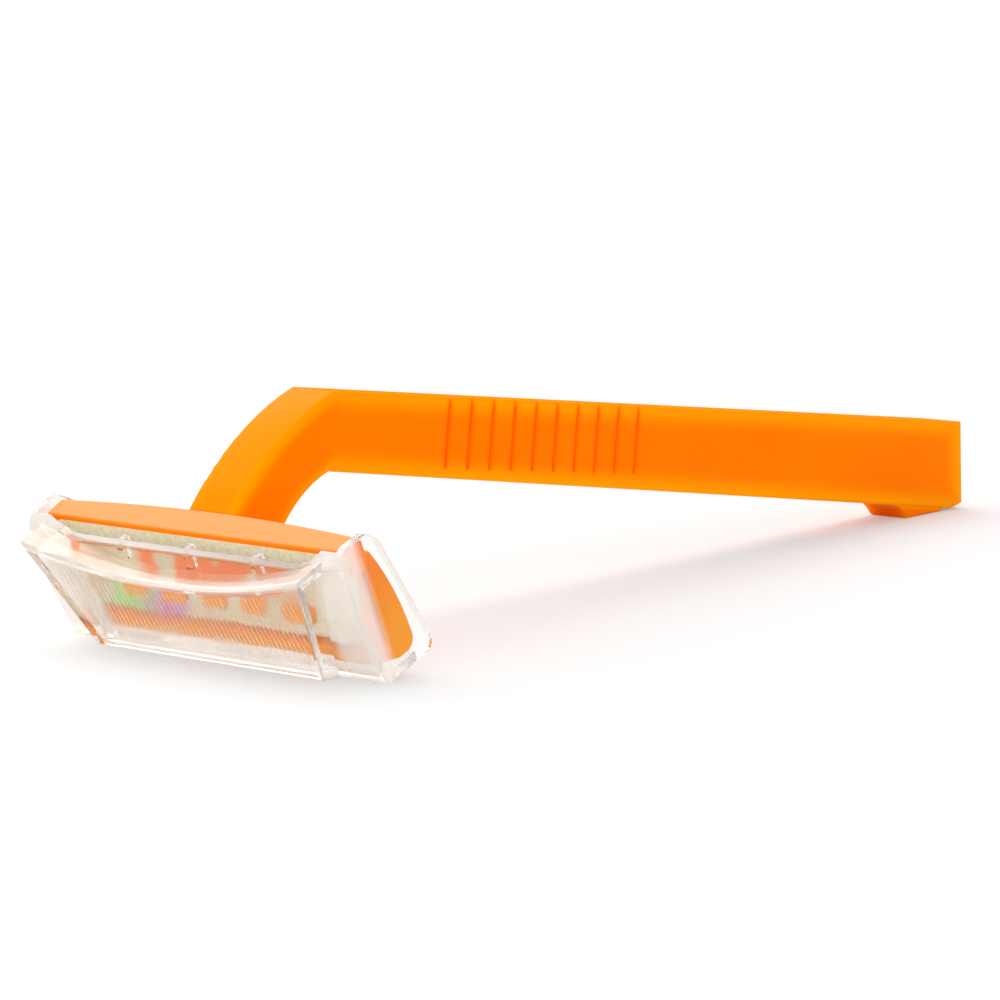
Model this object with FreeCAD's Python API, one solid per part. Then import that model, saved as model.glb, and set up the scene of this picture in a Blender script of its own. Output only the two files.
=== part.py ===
import FreeCAD, Part
import math
import os

os.makedirs("parts", exist_ok=True)

# Disposable razor with its clear blade guard on, lying on the guard and the heel.
# X runs from the head to the butt, Y across the razor and Z up. Lengths are in millimetres.
#
# The grip is drawn in its own frame: origin at the top corner of the bend, X along the top
# of the grip. The head is drawn upright in a second frame: origin at the front top edge of
# the cap, X backwards into the head, Z up the shaving face. The blade bed has a third frame:
# origin at the top of the bed, X into the bed, Z up along it.

# Grip
grip_length = 116.0
grip_width = 6.54
grip_height_bend = 8.22
grip_height_butt = 11.0
grip_edge_radius = 0.55
butt_lean = 1.7
bend_radius = 0.8

# Heel pad under the butt, placed from the butt
heel_width = 5.6
heel_length = 13.2
heel_cove = 0.43
heel_land_length = 7.4
heel_end_reach = 2.46
heel_end_depth = 0.45
heel_back_reach = 1.0
heel_edge_radius = 0.4

# Rounded lower corner of the butt
butt_corner_reach = 3.0
butt_corner_drop = 10.2
butt_corner_bulge = 0.35

# Finger grooves
groove_count = 10
groove_first = 17.62
groove_pitch = 3.58
groove_width = 0.5
groove_depth = 0.32
groove_foot = 7.59

# Hollows under the grip
hollow_width = 3.3
hollow_roof = 2.4
hollow_start = 5.0
hollow_butt_gap = 28.0
hollow_count = 6
hollow_rib = 1.3
hollow_radius = 0.6

# Head, placed from the bend
head_back = 16.3
head_drop = 14.75
head_lean = 29.7
head_length = 41.0
head_bow = 1.0

# Neck
neck_outer_bulge = 1.35
neck_inner_bulge = 1.75
neck_seam = 0.1
neck_foot_depth = 5.2
neck_foot_drop = 8.0

# Platform behind the blade: depths back from the face, drops down from the cap's top edge
platform_top_depth = 2.35
platform_top_drop = 1.35
platform_face_depth = 1.6
platform_face_drop = 1.9
platform_back_top = 2.8
platform_back_low = 5.1
platform_back_radius = 1.3
platform_back_bulge = 0.5
platform_corner_radius = 0.2

# Guard bar, placed below the foot of the blade bed
bar_depth = 0.1
bar_gap = 0.64
bar_ramp = 0.75
bar_face = 1.05
bar_undercut = 0.85
bar_chamfer_depth = 2.6
bar_top_radius = 0.25
bar_front_radius = 0.5
bar_heel_radius = 1.0

# Blade bed, pegs and rinse slots
bed_depth = 2.53
bed_drop = 1.7
bed_slope = 15.0
bed_nose = 0.5
bed_root = 1.0
peg_count = 5
peg_pitch = 5.6
peg_width = 3.5
peg_height = 1.9
peg_radius = 0.7
peg_proud = 0.3
peg_chamfer = 0.15
slot_count = 7
slot_width = 4.2
slot_height = 1.0
slot_radius = 0.4

# Blade
blade_end_gap = 1.4
blade_thickness = 0.2
blade_width = 8.7
blade_bevel = 0.85
blade_tip = 0.02
blade_corner = 0.8
blade_clearance = 0.15
blade_overhang = 0.3
window_clearance = 0.1
window_bevel_gap = 0.1
notch_radius = 0.55

# Cap and its lubricating strip
cap_height = 2.75
cap_depth = 3.3
cap_rise = 0.46
cap_top_radius = 0.4
cap_lip_radius = 0.25
cap_seat_depth = 2.45
cap_seat_drop = 1.62
cap_gap = 0.02
pin_radius = 0.45
pin_spacing = 25.0
pin_from_top = 0.3
pin_length = 0.7
pin_rise = 0.5
pin_clearance = 0.02
strip_drop = 0.5
strip_height = 1.75
strip_end_gap = 1.2
strip_thickness = 0.4
strip_proud = 0.05
strip_corner = 0.6

# Blade guard
guard_wall = 1.0
guard_end_gap = 0.25
guard_front = 2.0
guard_shoulder_drop = 6.5
guard_toe_front = 1.1
guard_toe_rise = 1.95
guard_floor = 0.9
guard_back = 6.9
guard_back_rise = 2.05
guard_back_top = 4.0
guard_back_top_drop = 0.6
guard_top_back = 2.4
guard_top = 0.9
guard_rim_drop = 1.2
guard_rim_radius = 6.5
guard_bar_gap = 0.25
guard_bottom_gap = 0.35
guard_corner_radius = 2.0
guard_edge_radius = 0.35
guard_back_radius = 1.3
guard_floor_back = 4.5

# Thumb panel on the front of the guard, leaning out towards its top
panel_top_front = 5.6
panel_low_front = 2.9
panel_top_drop = 0.1
panel_top_inset = 2.4
panel_bottom_inset = 6.3
panel_smile = 3.1
panel_root = 0.5
panel_rest_rise = 1.3
panel_edge_radius = 0.4

# Stand-off ribs inside the guard
rib_count = 5
rib_pitch = 9.3
rib_width = 0.8
rib_height = 2.2
rib_gap = 0.1

# Cuts run this far past what they cut
overrun = 1.0

# How far a quarter circle bows out from its chord, as a share of its radius
quarter_bulge_share = 1 - math.sqrt(0.5)

# What counts as flat, and as running along an axis, when edges are picked
flat_share = 0.999
along_share = 0.5

y_axis = FreeCAD.Vector(0, 1, 0)


def at(x, z, y=0):
    return FreeCAD.Vector(x, y, z)


# A closed outline in the XZ plane, drawn anticlockwise. Each corner is (x, z, bulge), and
# bulge is how far the edge that leaves it bows outwards.
def bowed_outline(corners):
    edges = []
    for here, there in zip(corners, corners[1:] + corners[:1]):
        start = at(here[0], here[1])
        end = at(there[0], there[1])
        if here[2] == 0:
            edges.append(Part.makeLine(start, end))
            continue
        run = end - start
        outwards = at(run.z, -run.x)
        outwards.normalize()
        middle = (start + end) / 2 + outwards * here[2]
        edges.append(Part.Arc(start, middle, end).toShape())
    return Part.Wire(edges)


# A closed outline in the XZ plane. Each corner is (x, z, radius), and zero leaves it sharp.
def rounded_outline(corners):
    rounds = []
    count = len(corners)
    for index, (x, z, radius) in enumerate(corners):
        corner = at(x, z)
        back = at(corners[index - 1][0], corners[index - 1][1]) - corner
        ahead = at(corners[(index + 1) % count][0], corners[(index + 1) % count][1]) - corner
        back.normalize()
        ahead.normalize()
        half_angle = back.getAngle(ahead) / 2
        reach = radius / math.tan(half_angle)
        inwards = back + ahead
        if radius:
            inwards.normalize()
        crown = corner + inwards * (radius / math.sin(half_angle) - radius)
        rounds.append((corner + back * reach, crown, corner + ahead * reach, radius))
    edges = []
    for index, (start, crown, end, radius) in enumerate(rounds):
        if radius:
            edges.append(Part.Arc(start, crown, end).toShape())
        edges.append(Part.makeLine(end, rounds[(index + 1) % count][0]))
    return Part.Wire(edges)


# Extrudes an outline across the razor, half its length to each side.
def across(wire, length):
    face = Part.Face(wire)
    face.translate(at(0, 0, -length / 2))
    return face.extrude(at(0, 0, length))


# A block between two depths, with its four edges along X rounded.
def tile(front, back, width, height, radius, y, z):
    block = Part.makeBox(back - front, width, height)
    block.translate(at(front, z - height / 2, y - width / 2))
    edges = [edge for edge in block.Edges if abs(edge.tangentAt(0).x) > along_share]
    return block.makeFillet(radius, edges)


def turned(shape, degrees, x, z):
    moved = shape.copy()
    moved.rotate(at(0, 0), y_axis, degrees)
    moved.translate(at(x, z))
    return moved


def head_on_grip(shape):
    return turned(shape, -head_lean, -head_back, -head_drop)


def bed_on_head(shape):
    return turned(shape, bed_slope, bed_depth, -bed_drop)


# The grip's coordinates of a point of the head's frame.
def grip_point(x, z):
    lean = math.radians(head_lean)
    return (x * math.cos(lean) - z * math.sin(lean) - head_back,
            x * math.sin(lean) + z * math.cos(lean) - head_drop)


def bed_depth_at(drop):
    return bed_depth - (drop - bed_drop) * math.tan(math.radians(bed_slope))


def bow_radius():
    return (head_length ** 2 / 4 + head_bow ** 2) / (2 * head_bow)


def spread(count, pitch):
    return [pitch * (index - (count - 1) / 2) for index in range(count)]


def blade_length():
    return head_length - 2 * blade_end_gap


def bed_length():
    return blade_width - blade_overhang


# How far down the bed the pegs and their windows in the blade are.
def peg_place():
    return blade_width - blade_bevel - window_bevel_gap - window_clearance - peg_height / 2


def bed_foot_drop():
    return bed_drop + bed_length() * math.cos(math.radians(bed_slope))


def bar_top_drop():
    return bed_foot_drop() + bar_gap + bar_ramp


def bar_bottom_drop():
    return bar_top_drop() + bar_face + bar_undercut


def guard_bottom_drop():
    return bar_bottom_drop() + guard_bottom_gap + guard_floor


def panel_rest_drop():
    return guard_bottom_drop() - panel_rest_rise


def panel_slope():
    return (panel_top_front - panel_low_front) / (guard_bottom_drop() - panel_top_drop)


# How far the panel's face stands in front of the cap.
def panel_front(drop):
    return panel_top_front - (drop - panel_top_drop) * panel_slope()


def underside(x):
    return -grip_height_bend - (grip_height_butt - grip_height_bend) * x / grip_length


# Where the heel's flat land ends, along the grip and below its top.
def land_end_place():
    end = grip_length - heel_end_reach
    return end, underside(end) - heel_end_depth


# The table touches the guard at its front bottom edge and the heel at its land.
def table_contacts():
    rest = panel_rest_drop()
    return grip_point(-panel_front(rest), -rest) + land_end_place()


def lie_angle():
    front_x, front_z, back_x, back_z = table_contacts()
    return math.degrees(math.atan2(back_z - front_z, back_x - front_x))


# Rounds the edges along the two flat sides of a solid, but for those before a place along X.
def soften_sides(body, radius, first_x):
    edges = []
    for face in body.Faces:
        if abs(face.normalAt(0, 0).y) > flat_share:
            edges += [edge for edge in face.Edges if edge.BoundBox.XMax > first_x]
    return body.makeFillet(radius, edges)


# The neck meets the grip in a tight corner, and curves down into the head.
def grip_and_neck():
    seam = cap_depth + neck_seam
    outer_x, outer_z = grip_point(seam, cap_rise)
    shelf_x, shelf_z = grip_point(seam, -neck_foot_drop)
    inner_x, inner_z = grip_point(neck_foot_depth, -neck_foot_drop)
    corner_x = grip_length - butt_corner_reach
    bar = across(bowed_outline([
        (0, 0, neck_outer_bulge),
        (outer_x, outer_z, 0),
        (shelf_x, shelf_z, 0),
        (inner_x, inner_z, -neck_inner_bulge),
        (0, -grip_height_bend, 0),
        (corner_x, underside(corner_x), butt_corner_bulge),
        (grip_length + butt_lean, -butt_corner_drop, 0),
        (grip_length, 0, 0),
    ]), grip_width)
    bend = [edge for edge in bar.Edges if edge.BoundBox.XLength < bend_radius
            and abs(edge.CenterOfMass.x) < bend_radius and abs(edge.tangentAt(0).y) > along_share]
    bar = soften_sides(bar.makeFillet(bend_radius, bend), grip_edge_radius, inner_x / 2)
    return bar.cut(grip_hollows()).cut(finger_grooves()).fuse(heel_pad())


# The pad is narrower than the grip, and its land lies flat on the table.
def heel_pad():
    lie = math.radians(lie_angle())
    start = grip_length - heel_length
    end_x, end_z = land_end_place()
    land_x = end_x - heel_land_length * math.cos(lie)
    land_z = end_z - heel_land_length * math.sin(lie)
    back_x = grip_length - heel_back_reach
    sunk = grip_edge_radius
    pad = across(bowed_outline([
        (start, underside(start), -heel_cove),
        (land_x, land_z, 0),
        (end_x, end_z, 0),
        (back_x, underside(back_x) + sunk, 0),
        (start, underside(start) + sunk, 0),
    ]), heel_width)
    return soften_sides(pad, heel_edge_radius, land_x + heel_edge_radius)


def finger_grooves():
    half = grip_width / 2
    cuts = []
    for index in range(groove_count):
        x = groove_first + groove_pitch * index
        for side in (-1, 1):
            cut = Part.makeBox(groove_width, 2 * groove_depth, groove_foot + overrun)
            cut.translate(at(x - groove_width / 2, -groove_foot, side * half - groove_depth))
            cuts.append(cut)
    return cuts


def grip_hollows():
    hollow_end = grip_length - hollow_butt_gap
    bay = (hollow_end - hollow_start - hollow_rib * (hollow_count - 1)) / hollow_count
    cuts = []
    for index in range(hollow_count):
        depth = grip_height_butt + overrun - hollow_roof
        cut = Part.makeBox(bay, hollow_width, depth)
        cut.translate(at(hollow_start + index * (bay + hollow_rib), 0, -hollow_width / 2))
        edges = [edge for edge in cut.Edges if abs(edge.tangentAt(0).z) > along_share]
        cut = cut.makeFillet(hollow_radius, edges)
        cut.translate(at(0, -grip_height_butt - overrun))
        cuts.append(cut)
    return cuts


# The platform's front is straight along the head, and its back bows in plan.
def platform():
    deep = platform_back_low + head_bow + overrun
    front = across(rounded_outline([
        (deep, -platform_top_drop, 0),
        (platform_top_depth, -platform_top_drop, 0),
        (platform_face_depth, -platform_face_drop, platform_corner_radius),
        (platform_face_depth, -bed_foot_drop() - bar_gap, platform_corner_radius),
        (bar_depth, -bar_top_drop(), bar_top_radius),
        (bar_depth, -bar_top_drop() - bar_face, bar_front_radius),
        (bar_chamfer_depth, -bar_bottom_drop(), bar_heel_radius),
        (deep, -bar_bottom_drop(), 0),
    ]), head_length)
    back_low = platform_back_low + head_bow
    turn = platform_back_radius
    section = Part.Face(bowed_outline([
        (-overrun, -platform_top_drop, 0),
        (-overrun, -bar_bottom_drop(), 0),
        (back_low - turn, -bar_bottom_drop(), turn * quarter_bulge_share),
        (back_low, -bar_bottom_drop() + turn, platform_back_bulge),
        (platform_back_top + head_bow, -platform_top_drop, 0),
    ]))
    radius = bow_radius()
    centre = at(platform_back_low + head_bow - radius, 0)
    half_sweep = math.degrees(math.asin((head_length / 2 + overrun) / (radius - back_low - overrun)))
    section.rotate(centre, at(0, 1), -half_sweep)
    back = section.revolve(centre, at(0, 1), 2 * half_sweep)
    return front.common(back)


def bed_recess():
    recess_end = bed_drop + (bed_depth - platform_face_depth) / math.tan(math.radians(bed_slope))
    return across(rounded_outline([
        (bed_depth_at(0), 0, 0),
        (-overrun, 0, 0),
        (-overrun, -recess_end, 0),
        (platform_face_depth, -recess_end, 0),
    ]), blade_length() + 2 * blade_clearance)


# In the bed's frame: the bed below the platform's face, up to its nose under the blade edge.
def bed_block():
    foot = -bed_length()
    return across(rounded_outline([
        (0, foot / 2, 0),
        (0, foot, 0),
        (bed_nose, foot - bed_nose / 2, 0),
        (bed_root + bed_nose, foot - bed_nose / 2, 0),
        (bed_root + bed_nose, foot / 2, 0),
    ]), blade_length() + 2 * blade_clearance)


def pegs():
    front = -blade_thickness - peg_proud
    solids = []
    for y in spread(peg_count, peg_pitch):
        peg = tile(front, bed_nose, peg_width, peg_height, peg_radius, y, -peg_place())
        rim = [edge for edge in peg.Edges if edge.BoundBox.XMax < front + peg_chamfer]
        solids.append(peg.makeChamfer(peg_chamfer, rim))
    return solids


def rinse_slots():
    middle = (bed_foot_drop() + bar_top_drop()) / 2
    back = platform_back_low + head_bow + overrun
    return [tile(platform_face_depth - overrun / 2, back, slot_width, slot_height, slot_radius, y, -middle)
            for y in spread(slot_count, peg_pitch)]


# Pins under the cap, in the bed's frame; the same places are cut for them in blade and bed.
def cap_pins(radius, depth):
    pins = []
    for y in spread(2, pin_spacing):
        length = depth + blade_thickness + pin_rise
        pin = Part.makeCylinder(radius, length, at(-blade_thickness - pin_rise, -pin_from_top, y), at(1, 0))
        pins.append(pin)
    return pins


def handle():
    head = platform().cut(bed_recess())
    head = head.fuse([bed_on_head(bed_block())] + [bed_on_head(peg) for peg in pegs()])
    head = head.cut(rinse_slots())
    holes = cap_pins(pin_radius + pin_clearance, pin_length + pin_clearance)
    body = grip_and_neck().fuse(head_on_grip(head)).removeSplitter()
    return body.cut([head_on_grip(bed_on_head(hole)) for hole in holes])


def blade():
    shoulder = blade_width - blade_bevel
    middle = blade_thickness / 2
    strip = across(rounded_outline([
        (-blade_thickness, 0, 0),
        (-blade_thickness, -shoulder, 0),
        (-middle - blade_tip / 2, -blade_width, 0),
        (-middle + blade_tip / 2, -blade_width, 0),
        (0, -shoulder, 0),
        (0, 0, 0),
    ]), blade_length())
    back_corners = [edge for edge in strip.Edges
                    if edge.BoundBox.ZMin > -blade_bevel / 2 and edge.BoundBox.YLength < blade_bevel / 2]
    strip = strip.makeChamfer(blade_corner, back_corners)
    width = peg_width + 2 * window_clearance
    height = peg_height + 2 * window_clearance
    radius = peg_radius + window_clearance
    windows = [tile(-blade_thickness - overrun, overrun, width, height, radius, y, -peg_place())
               for y in spread(peg_count, peg_pitch)]
    strip = strip.cut(windows).cut(cap_pins(notch_radius, overrun))
    return head_on_grip(bed_on_head(strip))


def cap():
    lift = blade_thickness / math.cos(math.radians(bed_slope)) + cap_gap
    back = cap_depth + overrun
    bar = across(rounded_outline([
        (0, 0, cap_top_radius),
        (0, -cap_height, cap_lip_radius),
        (bed_depth_at(cap_height) - lift, -cap_height, 0),
        (bed_depth_at(cap_seat_drop) - lift, -cap_seat_drop, 0),
        (cap_seat_depth, -cap_seat_drop, 0),
        (cap_seat_depth, -platform_top_drop, 0),
        (back, -platform_top_drop, 0),
        (back, cap_rise * back / cap_depth, 0),
    ]), head_length)
    radius = bow_radius()
    height = cap_height + cap_rise + 2 * overrun
    bow = Part.makeCylinder(radius, height, at(cap_depth - radius, -cap_height - overrun))
    bar = bar.common(bow).cut(platform().cut(bed_recess()))
    bar = bar.cut(strip_body())
    pins = [bed_on_head(pin) for pin in cap_pins(pin_radius, pin_length)]
    return head_on_grip(bar.fuse(pins).removeSplitter())


def strip_body():
    length = head_length - 2 * strip_end_gap
    middle = -strip_drop - strip_height / 2
    return tile(-strip_proud, strip_thickness, length, strip_height, strip_corner, 0, middle)


def lubricating_strip():
    return head_on_grip(strip_body())


# Everything below the table, raised by a wall, in the head's frame.
def below_table(raised):
    size = 2 * head_length
    rest = panel_rest_drop()
    block = Part.makeBox(size, size, size)
    block.translate(at(-size / 2, -size + raised, -size / 2))
    return turned(block, head_lean - lie_angle(), -panel_front(rest), -rest)


def guard_length():
    return head_length + 2 * guard_end_gap + 2 * guard_wall


def guard_body():
    bottom = guard_bottom_drop()
    return across(rounded_outline([
        (-guard_front, guard_top, guard_corner_radius),
        (-guard_front, -guard_shoulder_drop, guard_corner_radius),
        (-guard_toe_front, guard_toe_rise - bottom, guard_corner_radius / 2),
        (-guard_toe_front + guard_wall / 2, -bottom, 0),
        (guard_back, -bottom, guard_back_radius),
        (guard_back, guard_back_rise - bottom, guard_back_radius),
        (guard_back_top, -guard_back_top_drop, guard_back_radius / 2),
        (guard_top_back, guard_top, guard_back_radius / 2),
    ]), guard_length())


# The panel's outline seen from the front, shrunk all round by a margin, back to a depth.
def panel_block(margin, back):
    bottom = guard_bottom_drop()
    half_top = guard_length() / 2 - panel_top_inset
    half_bottom = guard_length() / 2 - panel_bottom_inset
    slant = math.atan2(half_top - half_bottom, bottom - panel_top_drop)
    radius = (half_top ** 2 + panel_smile ** 2) / (2 * panel_smile)
    centre_z = radius - panel_top_drop - panel_smile
    reach = radius + margin

    def side_y(drop):
        return half_top - (drop - panel_top_drop) * math.tan(slant) - margin / math.cos(slant)

    front = -panel_top_front - overrun
    top_y = side_y(panel_top_drop + margin)
    top_z = centre_z - math.sqrt(reach ** 2 - top_y ** 2)
    low_y = side_y(bottom)
    left = at(front, top_z, -top_y)
    right = at(front, top_z, top_y)
    low_right = at(front, -bottom, low_y)
    low_left = at(front, -bottom, -low_y)
    smile = Part.Arc(right, at(front, centre_z - reach), left).toShape()
    sides = [Part.makeLine(left, low_left), Part.makeLine(low_left, low_right), Part.makeLine(low_right, right)]
    face = Part.Face(Part.Wire([smile] + sides))
    return face.extrude(at(back - front, 0)).common(panel_wedge(margin, back))


# The panel seen from the side: a face that leans out, set back by a margin.
def panel_wedge(margin, back):
    setback = margin * math.hypot(1, panel_slope())
    top = panel_top_drop - overrun
    low = guard_bottom_drop() + overrun
    return across(rounded_outline([
        (setback - panel_front(top), -top, 0),
        (setback - panel_front(low), -low, 0),
        (back, -low, 0),
        (back, -top, 0),
    ]), guard_length())


def guard_cavity():
    inside = head_length + 2 * guard_end_gap
    floor_top = -bar_bottom_drop() - guard_bottom_gap
    room = across(rounded_outline([
        (-guard_front + guard_wall, guard_top + overrun, 0),
        (-guard_front + guard_wall, -guard_shoulder_drop, guard_corner_radius / 2),
        (bar_depth - guard_bar_gap, -bar_top_drop(), 0),
        (bar_depth - guard_bar_gap, floor_top, 0),
        (guard_back + overrun, floor_top, 0),
        (guard_back + overrun, guard_top + overrun, 0),
    ]), inside)
    hollow = panel_block(guard_wall, 0).cut(below_table(guard_wall))
    return [room, hollow]


# The front wall stops at its rim between the end walls, and the floor stops short of the back.
def guard_openings():
    inside = head_length + 2 * guard_end_gap
    height = guard_top + guard_rim_drop + 2 * guard_rim_radius + overrun
    front = -guard_front - guard_wall
    top = tile(front, guard_back, inside, height, guard_rim_radius, 0, height / 2 - guard_rim_drop)
    floor = Part.makeBox(guard_back, inside, guard_wall + overrun)
    floor.translate(at(guard_floor_back, -guard_bottom_drop() - overrun / 2, -inside / 2))
    return [top, floor]


def stand_off_ribs():
    front = -guard_front + guard_wall / 2
    ribs = []
    for y in spread(rib_count, rib_pitch):
        rib = Part.makeBox(-rib_gap - front, rib_width, rib_height)
        rib.translate(at(front, -guard_rim_drop - rib_height, y - rib_width / 2))
        ribs.append(rib)
    return ribs


def blade_guard():
    body = guard_body()
    ends = [face for face in body.Faces if abs(face.normalAt(0, 0).y) > flat_share]
    body = body.makeFillet(guard_edge_radius, [edge for face in ends for edge in face.Edges])
    panel = panel_block(0, panel_root).cut(below_table(0))
    rim = []
    for edge in panel.Edges:
        middle = edge.CenterOfMass
        if middle.x + panel_front(-middle.z) < panel_edge_radius:
            rim.append(edge)
    panel = panel.makeFillet(panel_edge_radius, rim)
    body = body.cut(below_table(0)).fuse(panel)
    body = body.cut(guard_cavity()).cut(guard_openings())
    body = body.fuse(stand_off_ribs())
    return head_on_grip(body.removeSplitter())


pieces = {
    "handle": handle(),
    "blade": blade(),
    "cap": cap(),
    "lubricating_strip": lubricating_strip(),
    "blade_guard": blade_guard(),
}

# Lay the razor down, with the middle of its footprint at the origin.
for name in pieces:
    pieces[name].rotate(at(0, 0), y_axis, lie_angle())
whole = Part.makeCompound(list(pieces.values())).optimalBoundingBox(False)
for name, solid in pieces.items():
    solid.translate(at(-whole.Center.x, -whole.ZMin, -whole.Center.y))
    solid.exportStep("parts/" + name + ".step")
    print(name, len(solid.Solids), solid.isValid(), round(solid.Volume, 2))
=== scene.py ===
import bpy
import bmesh
import math
from mathutils import Matrix, Vector


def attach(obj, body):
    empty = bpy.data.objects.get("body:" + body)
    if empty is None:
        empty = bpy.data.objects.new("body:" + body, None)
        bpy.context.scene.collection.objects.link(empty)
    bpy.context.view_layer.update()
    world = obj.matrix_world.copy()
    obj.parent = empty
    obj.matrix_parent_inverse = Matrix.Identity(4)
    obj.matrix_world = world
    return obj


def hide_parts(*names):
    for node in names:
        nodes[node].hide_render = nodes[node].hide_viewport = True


# A disposable razor lying on its clear guard and the heel of its grip.
# X runs from the head to the butt, Y across the razor, Z up, all in metres.

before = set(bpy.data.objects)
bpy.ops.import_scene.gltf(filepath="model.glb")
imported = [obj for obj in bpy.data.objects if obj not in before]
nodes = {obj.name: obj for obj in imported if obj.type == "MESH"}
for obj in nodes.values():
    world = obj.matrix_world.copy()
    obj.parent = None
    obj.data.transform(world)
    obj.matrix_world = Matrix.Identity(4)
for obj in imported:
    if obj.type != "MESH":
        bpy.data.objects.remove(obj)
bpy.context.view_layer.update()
print("frame loaded, nodes:", sorted(nodes))

mm = 0.001
white = (1.0, 1.0, 1.0, 1.0)

# The head's own frame: its origin is the cap's front top edge, X runs into the head and Z up the
# shaving face.
head = {
    "origin": (-64.291 * mm, 0.0, 13.270 * mm),
    "lean": 22.354,             # degrees, leaning back over the table
}

# The thumb panel's face, in the head's frame: how far it stands in front, and how far down its
# top corners and its lower edge are.
panel = {
    "topFront": 5.6 * mm,
    "lowFront": 2.9 * mm,
    "topDrop": 0.1 * mm,
    "lowDrop": 14.354 * mm,
    "restDrop": 13.05 * mm,     # where the table cuts it off
    "halfTop": 19.35 * mm,
    "halfLow": 15.45 * mm,
    "smile": 3.1 * mm,          # sag of the top edge
}


def headMatrix():
    lean = Matrix.Rotation(math.radians(-head["lean"]), 4, "Y")
    return Matrix.Translation(head["origin"]) @ lean


def linear(hexColour):
    channels = [int(hexColour[i:i + 2], 16) / 255 for i in (0, 2, 4)]
    return [c / 12.92 if c <= 0.04045 else ((c + 0.055) / 1.055) ** 2.4 for c in channels] + [1.0]


def newMaterial(name):
    material = bpy.data.materials.new(name)
    material.use_nodes = True
    tree = material.node_tree
    tree.nodes.clear()
    output = tree.nodes.new("ShaderNodeOutputMaterial")
    return material, tree, output


# An input is a value, a socket, or a node, which gives its first output.
def addNode(tree, kind, settings=None, inputs=None):
    node = tree.nodes.new(kind)
    for key, value in (settings or {}).items():
        setattr(node, key, value)
    for key, value in (inputs or {}).items():
        if isinstance(value, bpy.types.Node):
            value = value.outputs[0]
        if isinstance(value, bpy.types.NodeSocket):
            tree.links.new(value, node.inputs[key])
        else:
            node.inputs[key].default_value = value
    return node


# A colour with others over it, each as strongly as its mask says.
def painted(tree, colour, *layers):
    for mask, over in layers:
        colour = addNode(tree, "ShaderNodeMix", {"data_type": "RGBA"}, {
            0: mask, 6: colour, 7: over}).outputs[2]
    return colour


# A colour that turns from one to another while a value goes from a start to an end.
def twoTone(tree, value, turn, first, second):
    share = addNode(tree, "ShaderNodeMapRange", None, {
        "Value": value, "From Min": turn[0], "From Max": turn[1]})
    return painted(tree, linear(first), (share, linear(second)))


# 0 at a start and 1 at an end, in millimetres, and even between them.
def evenStep(tree, distance, start, end):
    return addNode(tree, "ShaderNodeMapRange", None, {
        "Value": distance, "From Min": start * mm, "From Max": end * mm})


# 0 below a limit and 1 above it, with a soft edge, in millimetres. A negative edge swaps them.
def softStep(tree, distance, limit, soft):
    return addNode(tree, "ShaderNodeMapRange", {"interpolation_type": "SMOOTHSTEP"}, {
        "Value": distance, "From Min": (limit - soft) * mm, "From Max": (limit + soft) * mm})


# 1 between two limits, in millimetres.
def softBand(tree, distance, low, high, soft):
    return allOf(tree, softStep(tree, distance, low, soft), softStep(tree, distance, high, -soft))


# 1 at an edge, falling to 0 at a reach in millimetres from it.
def nearEdge(tree, distance, reach):
    return softStep(tree, distance, reach / 2, -reach / 2)


# Masks multiplied, so that all of them count.
def allOf(tree, *masks):
    shared = masks[0]
    for mask in masks[1:]:
        shared = addNode(tree, "ShaderNodeMath", {"operation": "MULTIPLY"}, {0: shared, 1: mask})
    return shared


# The strongest of these masks, from point to point.
def anyOf(tree, *masks):
    joined = masks[0]
    for mask in masks[1:]:
        joined = addNode(tree, "ShaderNodeMath", {"operation": "MAXIMUM"}, {0: joined, 1: mask})
    return joined


# Distance along one axis of a leaning frame, the head's or the grip's, from its origin.
def frameAxis(tree, place, part, axis):
    lean = math.radians(part["lean"])
    directions = {
        "X": (math.cos(lean), 0.0, math.sin(lean)),
        "Z": (-math.sin(lean), 0.0, math.cos(lean)),
    }
    offset = addNode(tree, "ShaderNodeVectorMath", {"operation": "SUBTRACT"}, {
        0: place.outputs["Object"], 1: part["origin"]})
    return addNode(tree, "ShaderNodeVectorMath", {"operation": "DOT_PRODUCT"}, {
        0: offset, 1: directions[axis]}).outputs["Value"]


# Distance from the razor's middle plane.
def fromMiddle(tree, place):
    axes = addNode(tree, "ShaderNodeSeparateXYZ", None, {0: place.outputs["Object"]})
    return addNode(tree, "ShaderNodeMath", {"operation": "ABSOLUTE"}, {0: axes.outputs["Y"]})


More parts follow.
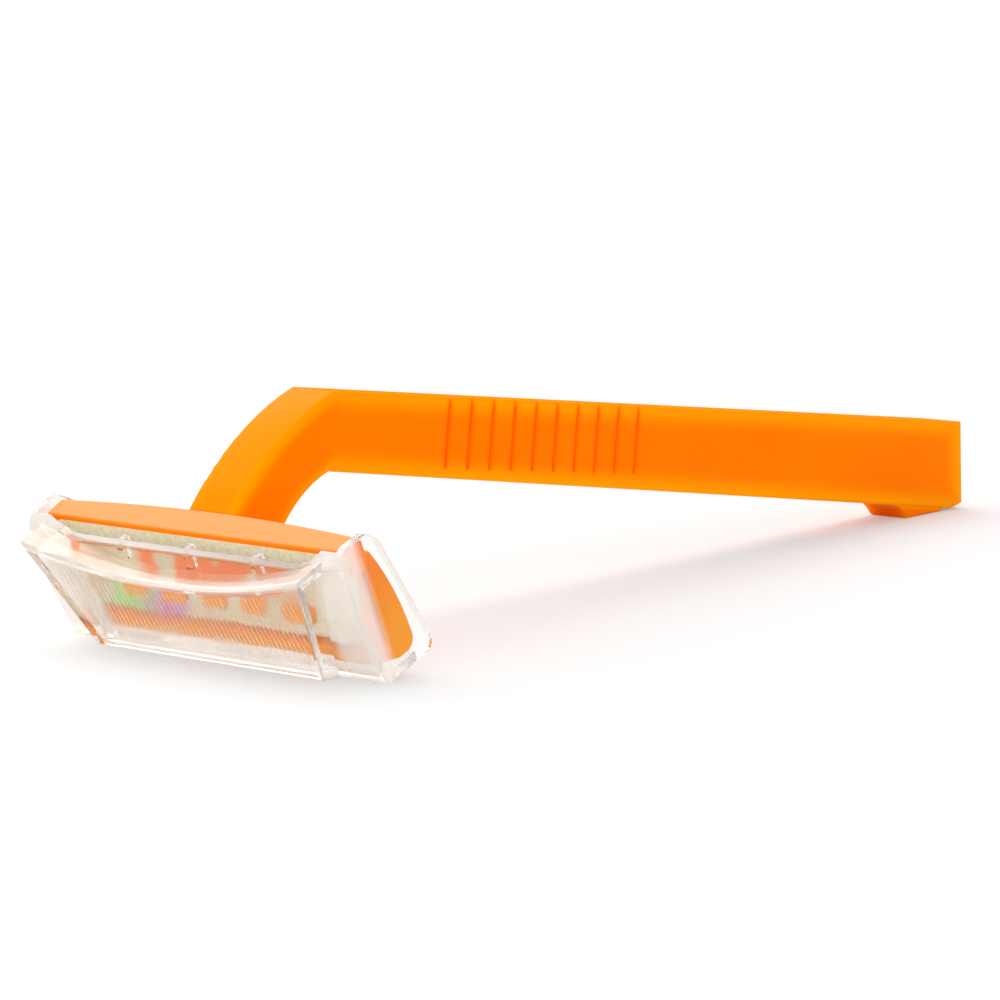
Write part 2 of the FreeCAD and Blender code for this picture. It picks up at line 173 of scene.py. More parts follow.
# Polypropylene, injection moulded in orange: satin skin, colour a little uneven from the flow of
# the melt. The faces that look up are painted paler, as painted light from above, and a painted
# glow lies along its edges, standing in for light that spreads inside the plastic.
orange = {
    "deep": "FF7400",
    "pale": "FF7E00",
    # painted light: the colour of the faces that look up
    "lit": "FF8A00",
    "capDeep": "FF7C08",
    "capPale": "FF8410",
    "capPaintedTopLight": "FFA064",             # the cap is thin; its faces that look up get a pale painted light and sheen
    "flowSize": 22.0,               # mm, one soft patch of the melt
    "flowTurn": (0.3, 0.7),
    "litFacing": (0.1, 1.0),        # how far a face looks up where its painted light starts and ends
    "grain": 0.22,                  # mm, spark-eroded mould texture
    "grainDepth": 0.02,             # mm
    "bump": 0.04,
    "roughness": 0.42,
    "ior": 1.49,
    "sheen": "FFA020",              # what little the skin reflects is tinted by the plastic
    "specular": 0.02,
    "sideSpecular": 0.007,
    "crestFacing": (0.84, 0.94),    # the handle shines most at the neck's crest
    "topFacing": (0.95, 0.985),     # and not on the grip's flat top
    # painted glow along the handle's edges and over its platform: its colour and reach
    "edge": "FF9C00",
    "edgeReach": 2.7,               # mm
    "buttReach": 4.2,               # mm
    "frontReach": 1.8,              # mm
    "neckSharpness": 1.6,           # the painted glow is this much narrower on the neck
    "platformPaintedGlow": (0.35, 1.1),    # the platform is thin walled; its painted glow is stronger downwards
    "grooveShade": "FF5E00",             # painted shade along the finger grooves
    "grooveShadeShare": 0.5,
    "grooveReach": 0.95,            # mm
}

# The grip's own frame: its origin is the corner where the top meets the neck, and X runs along the
# top to the butt. Lengths are in millimetres.
grip = {
    "origin": (-46.239 * mm, 0.0, 25.814 * mm),
    "lean": -7.346,                 # degrees, sinking towards the butt
    "length": 116.0,
    "buttLean": 0.167,
    "halfWidth": 3.27,
    "height": 8.22,
    "taper": 0.024,
    "underSoft": 0.3,
    "neckBlend": 1.0,
    "outerCentre": (14.526, -29.175),   # the neck's front and back curves
    "outerRadius": 32.591,
    "innerCentre": (5.828, -20.655),
    "innerRadius": 13.733,
    "sideFacing": (0.3, 0.9),       # faces across the handle, and its flat sides
    "grooveFirst": 17.62,
    "groovePitch": 3.58,
    "grooveLast": 49.84,
    "groovePast": 1.0,
    "grooveTop": 0.6,
    "grooveFoot": 7.59,
    "grooveSkin": 0.5,
    "grooveSoft": (0.3, 0.6, 0.1),  # along the grip, up it and across it
}

# Painted glow on the platform between the neck's sides, in millimetres in the head's frame.
platform = {
    "depth": 4.8,
    "top": -1.0,
    "soft": 0.3,
    "glowTop": -4.0,
    "glowLow": -10.0,
}


# Distance from the centre of one of the neck's curves.
def fromCentre(tree, along, up, centre):
    flat = addNode(tree, "ShaderNodeCombineXYZ", None, {"X": along, "Z": up})
    return addNode(tree, "ShaderNodeVectorMath", {"operation": "DISTANCE"}, {
        0: flat, 1: (centre[0] * mm, 0.0, centre[1] * mm)}).outputs["Value"]


# 1 on the handle's flat sides, 0 on the faces across it.
def sideways(tree, place):
    facing = addNode(tree, "ShaderNodeSeparateXYZ", None, {0: place.outputs["Normal"]})
    turned = addNode(tree, "ShaderNodeMath", {"operation": "ABSOLUTE"}, {0: facing.outputs["Y"]})
    return addNode(tree, "ShaderNodeMapRange", None, {
        "Value": turned,
        "From Min": grip["sideFacing"][0],
        "From Max": grip["sideFacing"][1],
    })


# Painted glow on the grip's and neck's flat sides, from the distances to their edges: 1 on an
# edge.
def paintedSideGlow(tree, place):
    along = frameAxis(tree, place, grip, "X")
    up = frameAxis(tree, place, grip, "Z")
    onNeck = evenStep(tree, along, grip["neckBlend"], -grip["neckBlend"])
    sharp = orange["neckSharpness"]
    outer = addNode(tree, "ShaderNodeMath", {"operation": "MULTIPLY_ADD"}, {
        0: fromCentre(tree, along, up, grip["outerCentre"]),
        1: -sharp,
        2: grip["outerRadius"] * mm * sharp,
    })
    inner = addNode(tree, "ShaderNodeMath", {"operation": "MULTIPLY_ADD"}, {
        0: fromCentre(tree, along, up, grip["innerCentre"]),
        1: sharp,
        2: -grip["innerRadius"] * mm * sharp,
    })
    down = addNode(tree, "ShaderNodeMath", {"operation": "MULTIPLY"}, {0: up, 1: -1.0})
    top = addNode(tree, "ShaderNodeMix", None, {0: onNeck, 2: down, 3: outer})
    under = addNode(tree, "ShaderNodeMath", {"operation": "MULTIPLY_ADD"}, {
        0: along, 1: grip["taper"], 2: grip["height"] * mm})
    above = addNode(tree, "ShaderNodeMath", {"operation": "ADD"}, {0: up, 1: under})
    bottom = addNode(tree, "ShaderNodeMix", None, {0: onNeck, 2: above, 3: inner})
    slant = addNode(tree, "ShaderNodeMath", {"operation": "MULTIPLY_ADD"}, {
        0: up, 1: grip["buttLean"], 2: along})
    butt = addNode(tree, "ShaderNodeMath", {"operation": "SUBTRACT"}, {
        0: grip["length"] * mm, 1: slant})
    low = allOf(tree, nearEdge(tree, bottom, orange["edgeReach"]),
                softStep(tree, bottom, -grip["underSoft"], grip["underSoft"]))
    return anyOf(tree, low, nearEdge(tree, top, orange["edgeReach"]),
                 nearEdge(tree, butt, orange["buttReach"]))


# How strong the painted glow is: along the edges of the grip and neck, and all over the platform.
def paintedHandleGlow(tree, place):
    width = addNode(tree, "ShaderNodeMath", {"operation": "SUBTRACT"}, {
        0: grip["halfWidth"] * mm, 1: fromMiddle(tree, place)})
    bar = addNode(tree, "ShaderNodeMix", None, {
        0: sideways(tree, place),
        2: nearEdge(tree, width, orange["frontReach"]),
        3: paintedSideGlow(tree, place),
    })
    depth = frameAxis(tree, place, head, "X")
    height = frameAxis(tree, place, head, "Z")
    front = allOf(tree, softStep(tree, depth, platform["depth"], -platform["soft"]),
                  softStep(tree, height, platform["top"], -platform["soft"]))
    beside = evenStep(tree, width, 0.0, -platform["soft"])
    glow = addNode(tree, "ShaderNodeMapRange", None, {
        "Value": height,
        "From Min": platform["glowTop"] * mm,
        "From Max": platform["glowLow"] * mm,
        "To Min": orange["platformPaintedGlow"][0],
        "To Max": orange["platformPaintedGlow"][1],
    })
    return addNode(tree, "ShaderNodeMix", None, {0: anyOf(tree, beside, front), 2: bar, 3: glow})


# Where the painted shade lies on the grip's sides, near a finger groove: 1 in the groove.
def gripGrooves(tree, place):
    along = frameAxis(tree, place, grip, "X")
    up = frameAxis(tree, place, grip, "Z")
    first = addNode(tree, "ShaderNodeMath", {"operation": "SUBTRACT"}, {
        0: along, 1: grip["grooveFirst"] * mm})
    fromGroove = addNode(tree, "ShaderNodeMath", {"operation": "PINGPONG"}, {
        0: first, 1: grip["groovePitch"] / 2 * mm})
    softAlong, softUp, softAcross = grip["grooveSoft"]
    return allOf(
        tree,
        softBand(tree, along, grip["grooveFirst"] - grip["groovePast"],
                 grip["grooveLast"] + grip["groovePast"], softAlong),
        softBand(tree, up, -grip["grooveFoot"], -grip["grooveTop"], softUp),
        nearEdge(tree, fromGroove, orange["grooveReach"]),
        softStep(tree, fromMiddle(tree, place), grip["halfWidth"] - grip["grooveSkin"],
                 softAcross))


# The handle shines at the neck's crest, a little at its sides, and not on the grip's flat top.
def handleSheen(tree, facing):
    rise = addNode(tree, "ShaderNodeMapRange", None, {
        "Value": facing.outputs["Z"],
        "From Min": orange["crestFacing"][0],
        "From Max": orange["crestFacing"][1],
        "To Min": orange["sideSpecular"],
        "To Max": orange["specular"],
    })
    fall = addNode(tree, "ShaderNodeMapRange", None, {
        "Value": facing.outputs["Z"],
        "From Min": orange["topFacing"][1],
        "From Max": orange["topFacing"][0],
    })
    return allOf(tree, rise, fall)


def mouldedPolypropylene(name, deep, pale, lit, isHandle):
    material, tree, output = newMaterial(name)
    place = addNode(tree, "ShaderNodeTexCoord")
    facing = addNode(tree, "ShaderNodeSeparateXYZ", None, {0: place.outputs["Normal"]})
    flow = addNode(tree, "ShaderNodeTexNoise", None, {
        "Vector": place.outputs["Object"],
        "Scale": 1 / (orange["flowSize"] * mm),
        "Detail": 2.0,
    })
    colour = twoTone(tree, flow, orange["flowTurn"], deep, pale)
    sheen = orange["specular"]
    if isHandle:
        # Painted shade along the finger grooves.
        grooveShadeMask = allOf(tree, gripGrooves(tree, place), orange["grooveShadeShare"])
        # Painted glow along the handle's edges and over its platform.
        colour = painted(tree, colour, (paintedHandleGlow(tree, place), linear(orange["edge"])),
                         (grooveShadeMask, linear(orange["grooveShade"])))
        sheen = handleSheen(tree, facing)
    # Painted light from above: the faces that look up are painted paler.
    paintedTopLight = addNode(tree, "ShaderNodeMapRange", {"interpolation_type": "SMOOTHSTEP"}, {
        "Value": facing.outputs["Z"],
        "From Min": orange["litFacing"][0],
        "From Max": orange["litFacing"][1],
    })
    grain = addNode(tree, "ShaderNodeTexNoise", None, {
        "Vector": place.outputs["Object"],
        "Scale": 1 / (orange["grain"] * mm),
        "Detail": 1.0,
    })
    bump = addNode(tree, "ShaderNodeBump", None, {
        "Height": grain,
        "Strength": orange["bump"],
        "Distance": orange["grainDepth"] * mm,
    })
    shader = addNode(tree, "ShaderNodeBsdfPrincipled", None, {
        "Base Color": painted(tree, colour, (paintedTopLight, linear(lit))),
        "Roughness": orange["roughness"],
        "IOR": orange["ior"],
        "Specular IOR Level": sheen,
        "Specular Tint": linear(orange["sheen"]),
        "Normal": bump,
    })
    tree.links.new(shader.outputs["BSDF"], output.inputs["Surface"])
    return material


# Martensitic stainless strip, ground then polished: fine lines along the blade, a warm cast and
# salmon patches painted in as a reflection of the orange moulding, and a green and violet film
# of the edge's coating towards one end. Lengths are in millimetres.
steel = {
    # warm, as a painted reflection of the orange moulding
    "base": "F0E2C8",
    "line": "D8C8A8",
    "lineSize": 0.12,           # between grinding lines, drawn coarser than real so that they show
    "lineLength": 50.0,         # times their spacing
    "lineTurn": (0.35, 0.65),
    "roughness": 0.32,
    # salmon patches of painted reflection of the orange moulding
    "paintedReflection": "FF8A58",
    "mirroredSize": 4.0,        # one patch
    "mirroredTurn": (0.34, 0.48),
    "mirroredFoot": 6.8,        # above the table, where the patches end
    "mirroredTop": 13.0,
    "mirroredEnd": 10.5,        # to each side of the middle
    "mirroredSoft": (0.6, 1.5),     # up and across
    "filmGreen": "9CE08C",
    "filmViolet": "D08AC8",
    "filmShare": (0.3, 0.7),    # of the film's width, where green turns to violet
    "filmTop": 5.9,             # above the table
    "filmStart": 14.5,          # from the middle, green end
    "filmStop": 4.0,            # from the middle, violet end
    "filmSoft": (0.4, 1.2),     # up and across
}


def groundSteel():
    material, tree, output = newMaterial("groundStainlessSteel")
    place = addNode(tree, "ShaderNodeTexCoord")
    axes = addNode(tree, "ShaderNodeSeparateXYZ", None, {0: place.outputs["Object"]})
    across, up = axes.outputs["Y"], axes.outputs["Z"]
    stretch = addNode(tree, "ShaderNodeMapping", None, {
        "Vector": place.outputs["Object"],
        "Scale": (1.0, 1 / steel["lineLength"], 1.0),
    })
    lines = addNode(tree, "ShaderNodeTexNoise", None, {
        "Vector": stretch,
        "Scale": 1 / (steel["lineSize"] * mm),
        "Detail": 2.0,
    })
    ground = twoTone(tree, lines, steel["lineTurn"], steel["line"], steel["base"])
    patches = addNode(tree, "ShaderNodeTexNoise", None, {
        "Vector": place.outputs["Object"],
        "Scale": 1 / (steel["mirroredSize"] * mm),
        "Detail": 1.0,
    })
    patchy = addNode(tree, "ShaderNodeMapRange", None, {
        "Value": patches,
        "From Min": steel["mirroredTurn"][0],
        "From Max": steel["mirroredTurn"][1],
    })
    end = steel["mirroredEnd"]
    softUp, softAcross = steel["mirroredSoft"]
    # Painted reflection of the orange moulding, in salmon patches.
    paintedReflection = allOf(
        tree, patchy,
        softBand(tree, up, steel["mirroredFoot"], steel["mirroredTop"], softUp),
        softBand(tree, across, -end, end, softAcross))
    start, stop = steel["filmStart"], steel["filmStop"]
    turn = [(start + share * (stop - start)) * mm for share in steel["filmShare"]]
    film = twoTone(tree, across, turn, steel["filmGreen"], steel["filmViolet"])
    softUp, softAcross = steel["filmSoft"]
    coated = allOf(
        tree,
        softBand(tree, up, 0.0, steel["filmTop"], softUp),
        softBand(tree, across, stop, start, softAcross))
    shader = addNode(tree, "ShaderNodeBsdfPrincipled", None, {
        "Base Color": painted(tree, ground, (paintedReflection, linear(steel["paintedReflection"])),
                              (coated, film)),
        "Metallic": 1.0,
        "Roughness": steel["roughness"],
    })
    tree.links.new(shader.outputs["BSDF"], output.inputs["Surface"])
    return material


# Polystyrene strip filled with polyethylene oxide, extruded: chalky, khaki, and dry to the touch.
strip = {
    "base": "F4E8C8",
    "fleck": "E8D9AE",
    "fleckSize": 0.5,           # mm
    "fleckTurn": (0.4, 0.6),
    "roughness": 0.62,
    "ior": 1.5,
}


def lubricantPolymer():
    material, tree, output = newMaterial("extrudedLubricantPolymer")
    place = addNode(tree, "ShaderNodeTexCoord")
    flecks = addNode(tree, "ShaderNodeTexNoise", None, {
        "Vector": place.outputs["Object"],
        "Scale": 1 / (strip["fleckSize"] * mm),
        "Detail": 3.0,
    })
    shader = addNode(tree, "ShaderNodeBsdfPrincipled", None, {
        "Base Color": twoTone(tree, flecks, strip["fleckTurn"], strip["fleck"], strip["base"]),
        "Roughness": strip["roughness"],
        "IOR": strip["ior"],
    })
    tree.links.new(shader.outputs["BSDF"], output.inputs["Surface"])
    return material


# General purpose polystyrene, injection moulded clear: a glassy skin with faint flow marks. The
# rims of the thumb panel and front wall are matt, and the thick corners and the back edges of
# the ends are milky. Lengths are in millimetres, along the head's frame.
clear = {
    "base": "FFFDF9",
    "shadow": "FBFAF8",
    "ior": 1.46,
    "reflection": "FF9448",     # what the skin mirrors is mostly the orange inside it
    "cloudSize": 6.0,
    "cloudTurn": (0.4, 0.7),
    "polished": 0.08,           # roughness between and in the flow marks
    "cloudy": 0.18,
    "mattRim": 0.5,             # roughness of the front wall's top edge
    "wall": (-2.2, -0.8),       # the wall's depth
    "rimDrop": 1.2,             # from the head's top to the edge
    "rimEdge": 0.25,            # to each side of it
    "wallSoft": 0.1,
    "milky": 0.008,             # share of the light that the body scatters
    "rimMilky": 0.32,           # and that the thumb panel's rim does
    "rimHeight": 0.72,
    "rimPast": 0.1,
    "rimFront": (-7.0, -3.4),   # the rim's depth
    "rimSoft": (0.15, 0.3),     # up and deep
    "endMilky": 0.48,
    "endFrom": 17.2,            # from the razor's middle
    "endDepth": (-2.6, 0.8),    # the milky corner, from front to back
    "endSoft": (1.2, 0.9),      # across and deep
    "backMilky": 0.4,
    "backFrom": 3.4,            # just inside the end walls' slanted back edges
    "backSlant": 0.248,
    "backSoft": 0.25,
}


# How far a point is above the thumb panel's smiling top edge.
def aboveSmile(tree, place):
    axes = addNode(tree, "ShaderNodeSeparateXYZ", None, {0: place.outputs["Object"]})
    share = addNode(tree, "ShaderNodeMath", {"operation": "DIVIDE"}, {
        0: axes.outputs["Y"], 1: panel["halfTop"]})
    sweep = addNode(tree, "ShaderNodeMath", {"operation": "POWER"}, {0: share, 1: 2.0})
    sag = addNode(tree, "ShaderNodeMath", {"operation": "MULTIPLY_ADD"}, {
        0: sweep, 1: -panel["smile"], 2: panel["smile"] + panel["topDrop"]})
    return addNode(tree, "ShaderNodeMath", {"operation": "ADD"}, {
        0: frameAxis(tree, place, head, "Z"), 1: sag})


# How milky the guard is from place to place.
def guardMilk(tree, place):
    depth = frameAxis(tree, place, head, "X")
    height = frameAxis(tree, place, head, "Z")
    rimUp, rimDeep = clear["rimSoft"]
    rim = allOf(
        tree,
        softBand(tree, aboveSmile(tree, place), -clear["rimHeight"], clear["rimPast"], rimUp),
        softBand(tree, depth, *clear["rimFront"], rimDeep))
    endAcross, endDeep = clear["endSoft"]
    end = allOf(
        tree,
        softStep(tree, fromMiddle(tree, place), clear["endFrom"], endAcross),
        softBand(tree, depth, *clear["endDepth"], endDeep))
    slant = addNode(tree, "ShaderNodeMath", {"operation": "MULTIPLY_ADD"}, {
        0: height, 1: clear["backSlant"], 2: depth})
    back = softStep(tree, slant, clear["backFrom"], clear["backSoft"])
    return anyOf(tree, allOf(tree, rim, clear["rimMilky"]), allOf(tree, end, clear["endMilky"]),
                 allOf(tree, back, clear["backMilky"]), clear["milky"])


# How matt the front wall's top edge is.
def wallMatt(tree, place):
    drop = addNode(tree, "ShaderNodeMath", {"operation": "ADD"}, {
        0: frameAxis(tree, place, head, "Z"), 1: clear["rimDrop"] * mm})
    wall = softBand(tree, frameAxis(tree, place, head, "X"), *clear["wall"], clear["wallSoft"])
    edge = softBand(tree, drop, -clear["rimEdge"], clear["rimEdge"], clear["wallSoft"])
    return allOf(tree, wall, edge, clear["mattRim"])


def clearPolystyrene():
    material, tree, output = newMaterial("mouldedClearPolystyrene")
    place = addNode(tree, "ShaderNodeTexCoord")
    clouds = addNode(tree, "ShaderNodeTexNoise", None, {
        "Vector": place.outputs["Object"],
        "Scale": 1 / (clear["cloudSize"] * mm),
        "Detail": 2.0,
    })
    haze = addNode(tree, "ShaderNodeMapRange", None, {
        "Value": clouds,
        "From Min": clear["cloudTurn"][0],
        "From Max": clear["cloudTurn"][1],
        "To Min": clear["polished"],
        "To Max": clear["cloudy"],
    })
    clarity = addNode(tree, "ShaderNodeMath", {"operation": "SUBTRACT"}, {
        0: 1.0, 1: guardMilk(tree, place)})
    shader = addNode(tree, "ShaderNodeBsdfPrincipled", None, {
        "Base Color": linear(clear["base"]),
        "Roughness": anyOf(tree, haze, wallMatt(tree, place)),
        "IOR": clear["ior"],
        "Specular Tint": linear(clear["reflection"]),
        "Transmission Weight": clarity,
    })
    path = addNode(tree, "ShaderNodeLightPath")
    through = addNode(tree, "ShaderNodeBsdfTransparent", None, {"Color": linear(clear["shadow"])})
    pick = addNode(tree, "ShaderNodeMixShader", None, {
        0: path.outputs["Is Shadow Ray"], 1: shader, 2: through})
    tree.links.new(pick.outputs[0], output.inputs["Surface"])
    return material


smoothing = {
    "angle": 30,                # degrees, above which an edge stays sharp
    "mergeDistance": 0.002 * mm,
    "shortestEdge": 0.0005 * mm,
}


def setMaterial(piece, material):
    piece.data.materials.clear()
    piece.data.materials.append(material)


# A node's own shape with its loose triangles joined and shaded smooth.
def smoothCopy(nodeName, pieceName, material, body):
    mesh = bpy.data.meshes.new(pieceName)
    bm = bmesh.new()
    bm.from_mesh(nodes[nodeName].data)
    bmesh.ops.remove_doubles(bm, verts=bm.verts, dist=smoothing["mergeDistance"])
    bmesh.ops.dissolve_degenerate(bm, edges=bm.edges, dist=smoothing["shortestEdge"])
    limit = math.radians(smoothing["angle"])
    for face in bm.faces:
        face.smooth = True
    for edge in bm.edges:
        edge.smooth = edge.is_manifold and edge.calc_face_angle(0.0) < limit
    bm.to_mesh(mesh)
    bm.free()
    piece = bpy.data.objects.new(pieceName, mesh)
    bpy.context.scene.collection.objects.link(piece)
    setMaterial(piece, material)
    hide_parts(nodeName)
    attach(piece, body)
    return piece


orangePlastic = mouldedPolypropylene("mouldedPolypropyleneOrange", orange["deep"], orange["pale"],
                                     orange["lit"], True)
capPlastic = mouldedPolypropylene("thinPolypropyleneOrange", orange["capDeep"], orange["capPale"],
                                  orange["capPaintedTopLight"], False)
bladeSteel = groundSteel()
stripPolymer = lubricantPolymer()
clearPlastic = clearPolystyrene()
print("materials made")

handleSkin = smoothCopy("handle", "handle_moulding", orangePlastic, "razor")
capSkin = smoothCopy("cap", "cap_moulding", capPlastic, "razor")
guardSkin = smoothCopy("blade_guard", "clear_guard", clearPlastic, "guard")
setMaterial(nodes["blade"], bladeSteel)
setMaterial(nodes["lubricating_strip"], stripPolymer)
print("pieces dressed")


# The fine upright ribs on the thumb panel.
ribs = {
    "pitch": 0.62 * mm,
    "radius": 1.2 * mm,
    "sides": 12,
    "proud": 0.013 * mm,
    "sunk": 0.01 * mm,          # below the panel's face, so that no gap shows
    "ribbon": 1.1 * mm,         # plain border along the smile
    "sideBorder": 0.9 * mm,
    "bottomBorder": 0.6 * mm,
    "shortest": 1.24 * mm,      # shorter ones at the panel's sides are left out
    "angle": 50,                # degrees, above which an edge stays sharp
}


def panelMatrix():
    lean = math.atan2(panel["topFront"] - panel["lowFront"], panel["lowDrop"] - panel["topDrop"])
    top = Matrix.Translation((-panel["topFront"], 0.0, -panel["topDrop"]))
    return headMatrix() @ top @ Matrix.Rotation(-lean, 4, "Y")


# Length along the leaning panel for each length straight down it.
def panelStretch():
    run = panel["lowDrop"] - panel["topDrop"]
    return math.hypot(run, panel["topFront"] - panel["lowFront"]) / run


# Where a rib starts under the smile, at this distance from the middle.
def ribTop(y):
    radius = (panel["halfTop"] ** 2 + panel["smile"] ** 2) / (2 * panel["smile"])
    sag = panel["smile"] - (radius - math.sqrt(radius ** 2 - y ** 2))
    return -sag * panelStretch() - ribs["ribbon"]


# Where it ends, on the panel's slanted side or on the table's cut.
def ribBottom(y):
    slope = (panel["lowDrop"] - panel["topDrop"]) / (panel["halfTop"] - panel["halfLow"])
    side = -(panel["halfTop"] - ribs["sideBorder"] - abs(y)) * slope
    rest = panel["topDrop"] - panel["restDrop"] + ribs["bottomBorder"]
    return max(rest, side) * panelStretch()


# One rib: the part of a cylinder that stands out of the panel, and a little below its face.
def addRib(bm, y, top, bottom):
    middle = Matrix.Translation((ribs["radius"] - ribs["proud"], y, (top + bottom) / 2))
    made = bmesh.ops.create_cone(bm, cap_ends=True, segments=ribs["sides"], radius1=ribs["radius"],
                                 radius2=ribs["radius"], depth=top - bottom, matrix=middle)
    # dictionary keys drop repeats in order, where a set would give another mesh each run
    geometry = dict.fromkeys(made["verts"])
    for vert in made["verts"]:
        geometry.update(dict.fromkeys(vert.link_edges))
        geometry.update(dict.fromkeys(vert.link_faces))
    cut = bmesh.ops.bisect_plane(bm, geom=list(geometry), plane_co=(ribs["sunk"], y, 0),
                                 plane_no=(1, 0, 0), clear_outer=True)
    rim = [item for item in cut["geom_cut"] if isinstance(item, bmesh.types.BMEdge)]
    bmesh.ops.edgeloop_fill(bm, edges=rim)


def makeRibs():
    mesh = bpy.data.meshes.new("thumb_grip_ribs")
    bm = bmesh.new()
    count = int((panel["halfTop"] - ribs["sideBorder"]) / ribs["pitch"])
    for index in range(-count, count + 1):
        y = index * ribs["pitch"]
        top, bottom = ribTop(y), ribBottom(y)
        if top - bottom > ribs["shortest"]:
            addRib(bm, y, top, bottom)
    bmesh.ops.recalc_face_normals(bm, faces=bm.faces)
    for face in bm.faces:
        face.smooth = True
    for edge in bm.edges:
        edge.smooth = edge.calc_face_angle(0.0) < math.radians(ribs["angle"])
    bm.transform(panelMatrix())
    bm.to_mesh(mesh)
    bm.free()
    piece = bpy.data.objects.new("thumb_grip_ribs", mesh)
    bpy.context.scene.collection.objects.link(piece)
    setMaterial(piece, clearPlastic)
    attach(piece, "guard")


makeRibs()
print("ribs made")


stageLook = {
    "floorSize": 4.0,           # metres
    "floorDrop": 0.02 * mm,     # below the razor, so that no face lies in another
    "floor": "F6F6F6",
    # what the camera sees of the floor: the share that can fall into shadow, and the rest. The
    # first is weak in green and blue, or the orange would tint the shadow.
    "lit": (0.69, 0.517, 0.494, 1.0),
    "lift": (0.12, 0.34, 0.37, 1.0),
    # the shadows at the heel and the head keep their tint
    "litClose": (0.572, 0.572, 0.572, 1.0),
    "liftClose": (0.27, 0.27, 0.27, 1.0),
    "close": [
        # middle, near, far
        ((0.0612, 0.0, 0.0), 0.008, 0.018),
        ((-0.064, 0.0, 0.0), 0.034, 0.052),
    ],
    "fadeStart": 0.08,          # metres from the origin
    "fadeEnd": 0.2,
    "world": 0.62,              # on the razor, while what is seen of it is plain white
    "lamps": [
        # name, place, size, watts
        ("keySoftbox", (0.05, 0.5, 0.8), 1.5, 10.6),
        ("fillSoftbox", (-0.7, -0.6, 0.5), 0.8, 3.3),
    ],
    "aim": (-0.01, 0.0, 0.01),
    "bounces": 32,              # the guard is seen through many walls
}


# 1 for rays that come by a mirror or through the guard.
def mirroredRays(tree):
    path = addNode(tree, "ShaderNodeLightPath").outputs
    return anyOf(tree, path["Is Glossy Ray"], path["Is Transmission Ray"])


# 1 for those and for the camera's own.
def seenRays(tree):
    path = addNode(tree, "ShaderNodeLightPath").outputs
    return anyOf(tree, path["Is Camera Ray"], mirroredRays(tree))


# 0 at the heel and the head, 1 away from them.
def awayFromContact(tree, place):
    masks = []
    for middle, near, far in stageLook["close"]:
        distance = addNode(tree, "ShaderNodeVectorMath", {"operation": "DISTANCE"}, {
            0: place.outputs["Object"], 1: middle})
        masks.append(addNode(tree, "ShaderNodeMapRange", None, {
            "Value": distance.outputs["Value"], "From Min": near, "From Max": far}))
    return allOf(tree, *masks)


# White paper. What the camera sees of it is part lit and part plain white, and plain white
# further out, so that the sheet has no far edge.
def paperSweep():
    material, tree, output = newMaterial("paperSweep")
    place = addNode(tree, "ShaderNodeTexCoord")
    away = awayFromContact(tree, place)
    plain = addNode(tree, "ShaderNodeBsdfDiffuse", None, {"Color": linear(stageLook["floor"])})
    shadowed = addNode(tree, "ShaderNodeBsdfDiffuse", None, {
        "Color": painted(tree, stageLook["litClose"], (away, stageLook["lit"]))})
    lift = addNode(tree, "ShaderNodeEmission", None, {
        "Color": painted(tree, stageLook["liftClose"], (away, stageLook["lift"]))})
    near = addNode(tree, "ShaderNodeAddShader", None, {0: shadowed, 1: lift})
    far = addNode(tree, "ShaderNodeEmission", None, {"Color": white, "Strength": 1.0})
    reach = addNode(tree, "ShaderNodeVectorMath", {"operation": "LENGTH"}, {
        0: place.outputs["Object"]})
    fade = addNode(tree, "ShaderNodeMapRange", {"interpolation_type": "SMOOTHSTEP"}, {
        "Value": reach.outputs["Value"],
        "From Min": stageLook["fadeStart"],
        "From Max": stageLook["fadeEnd"],
    })
    sheet = addNode(tree, "ShaderNodeMixShader", None, {
        0: anyOf(tree, fade, mirroredRays(tree)), 1: near, 2: far})
    pick = addNode(tree, "ShaderNodeMixShader", None, {0: seenRays(tree), 1: plain, 2: sheet})
    tree.links.new(pick.outputs[0], output.inputs["Surface"])
    return material


def makeFloor():
    mesh = bpy.data.meshes.new("floor")
    bm = bmesh.new()
    bmesh.ops.create_grid(bm, x_segments=1, y_segments=1, size=stageLook["floorSize"] / 2)
    bm.to_mesh(mesh)
    bm.free()
    floor = bpy.data.objects.new("floor", mesh)
    floor.location.z = -stageLook["floorDrop"]
    bpy.context.scene.collection.objects.link(floor)
    setMaterial(floor, paperSweep())


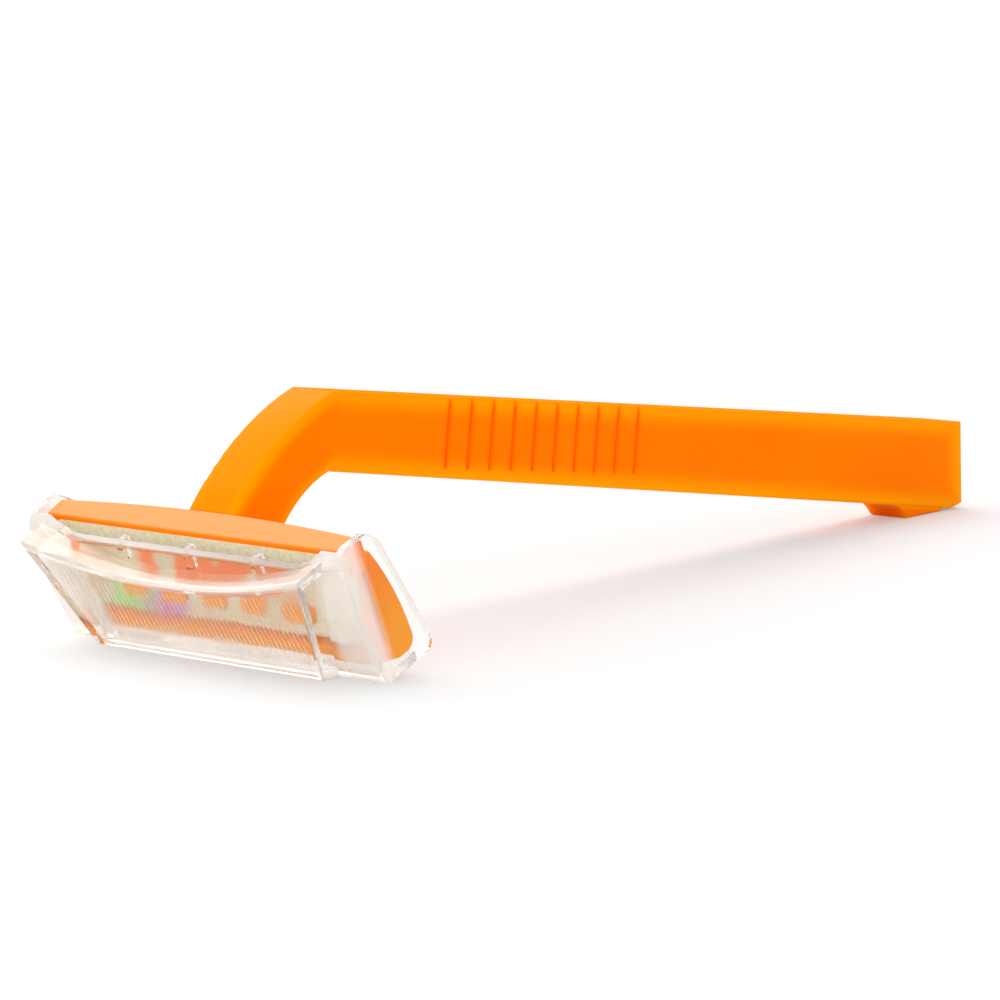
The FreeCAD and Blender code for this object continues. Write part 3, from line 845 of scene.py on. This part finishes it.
def makeWorld():
    world = bpy.data.worlds.new("studio")
    world.use_nodes = True
    tree = world.node_tree
    tree.nodes.clear()
    output = tree.nodes.new("ShaderNodeOutputWorld")
    strength = addNode(tree, "ShaderNodeMapRange", None, {
        "Value": seenRays(tree), "To Min": stageLook["world"], "To Max": 1.0})
    sky = addNode(tree, "ShaderNodeBackground", None, {"Color": white, "Strength": strength})
    tree.links.new(sky.outputs[0], output.inputs["Surface"])
    bpy.context.scene.world = world


def makeLamps():
    for name, place, size, power in stageLook["lamps"]:
        lamp = bpy.data.lights.new(name, "AREA")
        lamp.shape = "DISK"
        lamp.size = size
        lamp.energy = power
        piece = bpy.data.objects.new(name, lamp)
        piece.location = place
        direction = Vector(stageLook["aim"]) - Vector(place)
        piece.rotation_euler = direction.to_track_quat("-Z", "Y").to_euler()
        bpy.context.scene.collection.objects.link(piece)


view = {
    "place": (-0.313204, -0.251710, 0.068704),
    "yaw": 40.366,              # degrees from +X towards +Y
    "pitch": 8.458,             # degrees down
    "roll": -0.450,
    "lens": 130.6,              # mm
    "sensor": 36.0,             # mm
    "nearest": 0.01,            # metres, where the camera starts to see
}


def makeCamera():
    camera = bpy.data.cameras.new("camera")
    camera.lens = view["lens"]
    camera.sensor_width = view["sensor"]
    camera.sensor_fit = "HORIZONTAL"
    camera.clip_start = view["nearest"]
    piece = bpy.data.objects.new("camera", camera)
    yaw = Matrix.Rotation(math.radians(view["yaw"] - 90), 4, "Z")
    pitch = Matrix.Rotation(math.radians(90 - view["pitch"]), 4, "X")
    roll = Matrix.Rotation(math.radians(view["roll"]), 4, "Z")
    piece.matrix_world = Matrix.Translation(view["place"]) @ yaw @ pitch @ roll
    bpy.context.scene.collection.objects.link(piece)
    bpy.context.scene.camera = piece


makeFloor()
makeWorld()
makeLamps()
makeCamera()
bpy.context.scene.view_settings.view_transform = "Standard"
for kind in ("max_bounces", "glossy_bounces", "transmission_bounces"):
    setattr(bpy.context.scene.cycles, kind, stageLook["bounces"])
print("stage set")
